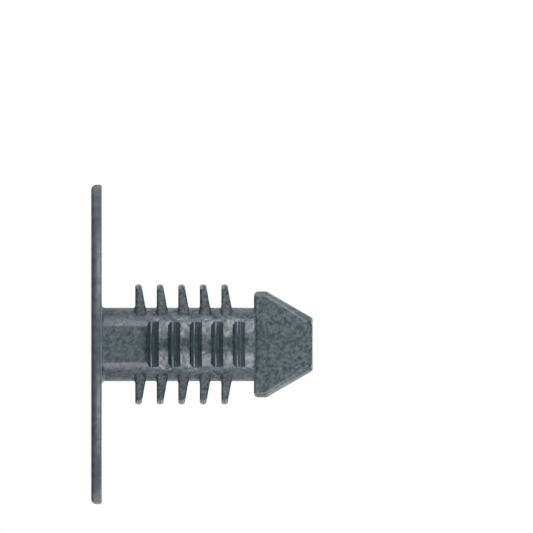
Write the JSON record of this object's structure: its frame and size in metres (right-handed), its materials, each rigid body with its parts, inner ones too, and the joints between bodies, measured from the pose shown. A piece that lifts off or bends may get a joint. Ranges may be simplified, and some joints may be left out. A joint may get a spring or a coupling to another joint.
{
  "type": "push-in retainer clip",
  "caption": "Moulded plastic push-in retainer with a thin round head, a barbed round shank and a flattened arrow tip, for holding trim or lining to a panel with a round hole.",
  "frame": {"origin": "centre of the head's outer face, which the clip stands on", "axes": "+Z along the shank from the head to the tip, X across the broad face of the arrow tip, Y through its flat front and back"},
  "size_m": [0.03, 0.03, 0.0208],
  "materials": {
    "plastic": "dark slate, fine moulded grain"
  },
  "bodies": {
    "root": {"retainer_clip": "plastic"}
  },
  "joints": []
}
